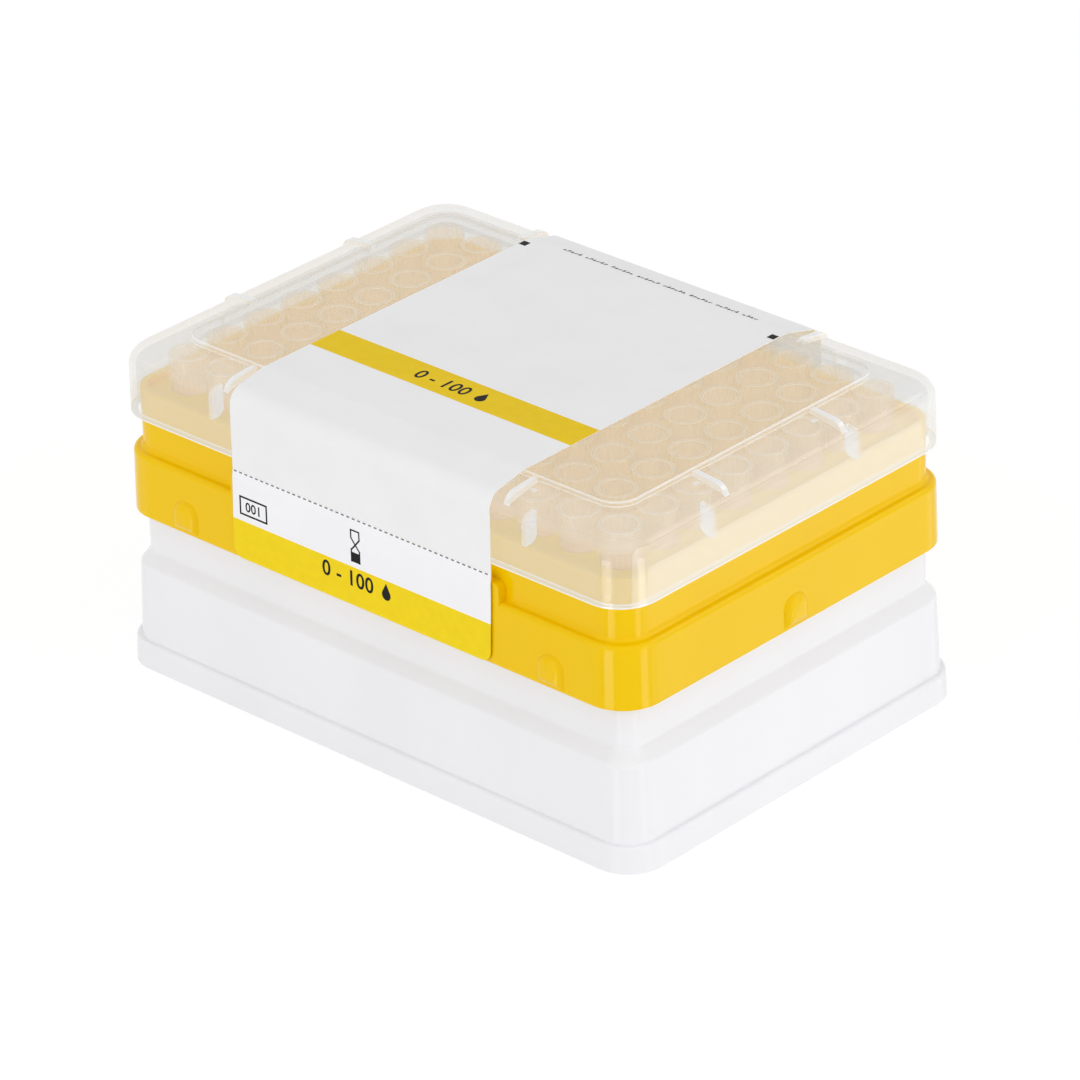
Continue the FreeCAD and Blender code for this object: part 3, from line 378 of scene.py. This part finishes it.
class Face:
    """One printed face of the label: flat shapes in millimetres are laid on the paper along a direction."""

    def __init__(self, node, body, origin, across, up):
        self.body = body
        self.origin, self.across, self.up = Vector(origin) * MM, Vector(across), Vector(up)
        self.outward = self.across.cross(self.up)
        self.tree = BVHTree.FromObject(nodes[node], bpy.context.evaluated_depsgraph_get())

    def place(self, u, v):
        """The paper's surface and normal at a place."""
        above = self.origin + (self.across * u + self.up * v) * MM
        point, normal, _, _ = self.tree.ray_cast(above + self.outward * RAY_REACH, -self.outward)
        if point is None:
            point, normal, _, _ = self.tree.find_nearest(above)
        return point, normal if normal.dot(self.outward) > 0 else -normal

    def lay(self, name, shapes, material):
        """Lays flat shapes on the paper."""
        flat = bmesh.new()
        for shape in shapes:
            flat.faces.new([flat.verts.new((u, v, 0)) for u, v in shape])
        self.lay_mesh(name, flat, material)

    def lay_mesh(self, name, flat, material):
        """Turns a flat mesh into a thin closed film of ink that follows the paper."""
        bmesh.ops.remove_doubles(flat, verts=flat.verts, dist=MERGE_DISTANCE)
        divide(flat)
        bmesh.ops.triangulate(flat, faces=flat.faces)
        bmesh.ops.recalc_face_normals(flat, faces=flat.faces)
        if sum(face.normal.z for face in flat.faces) < 0:
            bmesh.ops.reverse_faces(flat, faces=flat.faces)
        places = [self.place(vert.co.x, vert.co.y) for vert in flat.verts]
        film = bmesh.new()
        upper = [film.verts.new(point + normal * INK_RAISE) for point, normal in places]
        lower = [film.verts.new(point - normal * INK_RAISE) for point, normal in places]
        flat.verts.index_update()
        for face in flat.faces:
            ring = [vert.index for vert in face.verts]
            film.faces.new([upper[i] for i in ring])
            film.faces.new([lower[i] for i in reversed(ring)])
        for edge in flat.edges:
            if edge.is_boundary:
                loop = edge.link_loops[0]
                a, b = loop.vert.index, loop.link_loop_next.vert.index
                film.faces.new([upper[b], upper[a], lower[a], lower[b]])
        mesh = bpy.data.meshes.new(name)
        film.to_mesh(mesh)
        film.free()
        flat.free()
        mesh.materials.append(material)
        piece = add_object(name, mesh)
        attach(piece, self.body)

    def write(self, name, words, u, v, height, material):
        """Plain numerals, centred at a place."""
        text = bpy.data.curves.new(name, "FONT")
        text.body = words
        text.fill_mode = "FRONT"
        text.align_x = "CENTER"
        text.size = 1
        text.offset = LETTER_WEIGHT
        text.space_character = LETTER_SPACING
        carrier = add_object(name, text)
        bpy.context.view_layer.update()
        outline = bpy.data.meshes.new_from_object(carrier)
        bpy.data.objects.remove(carrier)
        flat = bmesh.new()
        flat.from_mesh(outline)
        levels = [vert.co.y for vert in flat.verts]
        low = min(levels)
        scale = height / (max(levels) - low)
        for vert in flat.verts:
            vert.co = Vector((u + vert.co.x * scale, v + (vert.co.y - low) * scale - height / 2, 0))
        self.lay_mesh(name, flat, material)


def divide(flat):
    """Cuts shapes at even steps so that they can follow the paper's bends."""
    low = min(vert.co.y for vert in flat.verts)
    high = max(vert.co.y for vert in flat.verts)
    for index in range(1, math.ceil((high - low) / FOLD_STEP)):
        geometry = flat.verts[:] + flat.edges[:] + flat.faces[:]
        bmesh.ops.bisect_plane(flat, geom=geometry, plane_co=(0, low + index * FOLD_STEP, 0), plane_no=(0, 1, 0))


def rectangle(left, low, right, high):
    return [(left, low), (right, low), (right, high), (left, high)]


def square(left, low, side):
    return rectangle(left, low, left + side, low + side)


def stroke(points, width, closed=False):
    """Straight strokes of one width between points."""
    quads = []
    for (u0, v0), (u1, v1) in zip(points, points[1:] + points[:1] if closed else points[1:]):
        along = Vector((u1 - u0, v1 - v0)).normalized() * width / 2
        side = Vector((-along.y, along.x))
        quads.append([(u0 - along.x - side.x, v0 - along.y - side.y),
                      (u1 + along.x - side.x, v1 + along.y - side.y),
                      (u1 + along.x + side.x, v1 + along.y + side.y),
                      (u0 - along.x + side.x, v0 - along.y + side.y)])
    return quads


def drop(u, v, radius):
    """A plain drop of liquid with its tip up."""
    tip, start, step, steps = 2.1, 150, 10, 25
    points = [(u, v + tip * radius)]
    for index in range(steps):
        angle = math.radians(start + index * step)
        points.append((u + radius * math.cos(angle), v + radius * math.sin(angle)))
    return [points]


def fine_line(left, low):
    """A line of small bars in groups of six, which stand for fine print."""
    count, pitch, group, gap = 52, 0.86, 7, 5
    stem, foot, foot_height, stem_height, stem_step = 0.34, 0.6, 0.3, 0.5, 0.25
    bars = []
    for index in range(count):
        if index % group != gap:
            start, lift = left + index * pitch, foot_height * (index % 2)
            bars.append(rectangle(start, low, start + stem, low + stem_height + stem_step * (index * 5 % 3)))
            bars.append(rectangle(start + stem, low + lift, start + foot, low + lift + foot_height))
    return bars


def hourglass(middle, half_width, line):
    """An hourglass with an empty upper half and sand in its lower half."""
    top, shoulder, waist, hip, foot = 44.0, 42.5, 41.35, 40.3, 38.2
    sand_low, sand_high = 38.1, 39.9
    left, right = middle - half_width, middle + half_width
    shapes = stroke([(left, top), (right, top), (right, shoulder), (middle, waist), (left, shoulder)], line, True)
    shapes += stroke([(left, foot), (left, hip), (middle, waist), (right, hip), (right, foot)], line)
    shapes.append(rectangle(left, sand_low, right, sand_high))
    return shapes


def perforation(left, low):
    """A row of short dashes, where the label parts when the lid is opened."""
    count, pitch, length, height = 47, 1.26, 0.65, 0.23
    return [rectangle(left + index * pitch, low, left + index * pitch + length, low + height)
            for index in range(count)]


NUMBER_HEIGHT = 2.9
DROP_RADIUS, DROP_ACROSS, DROP_UP = 1.0, 8.9, -0.5
MARK_SIDE = 1.5
FRAME_LINE, GLASS_LINE = 0.34, 0.28


def make_print():
    black, grey = ink(), grey_ink()
    top = Face("label_upper", "lid", (0, 0, 62), (1, 0, 0), (0, 1, 0))
    front = Face("label_lower", "base", (0, -41, 0), (1, 0, 0), (0, 0, 1))
    for face, name, u, v in ((top, "top", -2.3, -18.1), (front, "front", -3.2, 34.9)):
        face.write(f"{name}_numbers", "0 - 100", u, v, NUMBER_HEIGHT, black)
        face.lay(f"{name}_drop", drop(u + DROP_ACROSS, v + DROP_UP, DROP_RADIUS), black)
    top.lay("corner_mark_left", [square(-29.8, 29.8, MARK_SIDE)], black)
    top.lay("corner_mark_right", [square(28.1, 29.0, MARK_SIDE)], black)
    top.lay("small_print", fine_line(-22.4, 33.2), black)
    front.lay("number_frame", stroke(rectangle(-28.3, 38.45, -22.1, 41.65), FRAME_LINE, True), black)
    front.write("frame_numbers", "001", -25.2, 40.05, 1.8, black)
    front.lay("hourglass", hourglass(-1.2, 0.95, GLASS_LINE), black)
    front.lay("perforation_marks", perforation(-29.6, 45.95), grey)


# ---------------------------------------------------------------- surroundings
# azimuth and elevation in degrees, width in metres, power in watts
SOFTBOXES = {
    "front_softbox": (-3, 20, 1.2, 5.1),
    "right_softbox": (102, 18, 1.2, 6.5),
}
SHINES = {
    "front_shine": (5, -25, 0.6, 11),
    "right_shine": (95, -25, 0.5, 7),
    "right_glow": (136, -28, 1.2, 5.5),
    "front_glow": (-44, -28, 1.2, 1.2),
    "edge_shine": (144, 38, 0.5, 2),
}
LIGHT_TARGET = Vector((0, 0, 0.03))
LIGHT_DISTANCE = 1.6
WORLD_LIGHT = 0.72
FLOOR_HALF_WIDTH = 3.0
FLOOR_SHADING = 0.25            # how much of the light and shadow that falls on the floor shows on it
FLOOR_GLOW = 1.1


def softbox(name, azimuth, elevation, width, power):
    """A square light that faces the middle of the box."""
    lamp = bpy.data.lights.new(name, "AREA")
    lamp.shape = "SQUARE"
    lamp.size = width
    lamp.energy = power
    holder = add_object(name, lamp)
    back = direction(azimuth, elevation)
    holder.location = LIGHT_TARGET + back * LIGHT_DISTANCE
    holder.rotation_mode = "QUATERNION"
    holder.rotation_quaternion = (-back).to_track_quat("-Z", "Y")
    return holder


def make_world():
    """An even white room that looks brighter than it lights."""
    world = bpy.data.worlds.new("studio")
    bpy.context.scene.world = world
    world.use_nodes = True
    room = Nodes(world.node_tree)
    background = room.tree.nodes["Background"].inputs
    room.feed(background["Color"], (1, 1, 1, 1))
    room.feed(background["Strength"], room.spread(room.shown_ray(), WORLD_LIGHT, 1.0, 0.0, 1.0))


def make_floor():
    """A pale floor that fades into the white behind it and keeps a little of the object's shadow."""
    mesh = bpy.data.meshes.new("floor")
    half = FLOOR_HALF_WIDTH
    mesh.from_pydata([(-half, -half, 0), (half, -half, 0), (half, half, 0), (-half, half, 0)], [], [(0, 1, 2, 3)])
    floor = add_object("floor", mesh)
    floor.visible_glossy = False
    look = Look("floor")
    look.set(Base_Color=(0.9, 0.9, 0.9, 1), Roughness=0.9, Specular_IOR_Level=0.1)
    glow = look.add("ShaderNodeEmission", {"Color": (1, 1, 1, 1), "Strength": FLOOR_GLOW}).outputs[0]
    share = look.times(look.shown_ray(), 1 - FLOOR_SHADING)
    mixed = look.add("ShaderNodeMixShader", {0: share, 1: look.shader.outputs[0], 2: glow}).outputs[0]
    look.feed(look.tree.nodes["Material Output"].inputs["Surface"], mixed)
    mesh.materials.append(look.material)


def make_lights():
    for name, settings in SOFTBOXES.items():
        softbox(name, *settings)
    # these show only as highlights in glossy plastic
    for name, settings in SHINES.items():
        shine = softbox(name, *settings)
        shine.visible_diffuse = False
        shine.visible_transmission = False


# ---------------------------------------------------------------- the object
make_camera()
dress("base_box", base_plastic())
dress("tip_tray", tray_plastic())
lets_light_through(dress("lid", lid_plastic()))
# the upper label's white and yellow are a little darker than the lower label's, though it is the same paper and
# print: painted shade on the top
paper = label_paper("label_upper", top_stripe, colour(247, 247, 248), colour(242, 206, 20))
lets_light_through(dress("label_upper", paper))
paper = label_paper("label_lower", front_stripe, colour(252, 252, 255), colour(251, 220, 26))
dress("label_lower", paper)
tips = tip_plastic()
for name in sorted(nodes):
    if name.startswith("tips_column"):
        lets_light_through(dress(name, tips))
make_print()
make_world()
make_floor()
make_lights()
bpy.context.scene.view_settings.view_transform = "Standard"
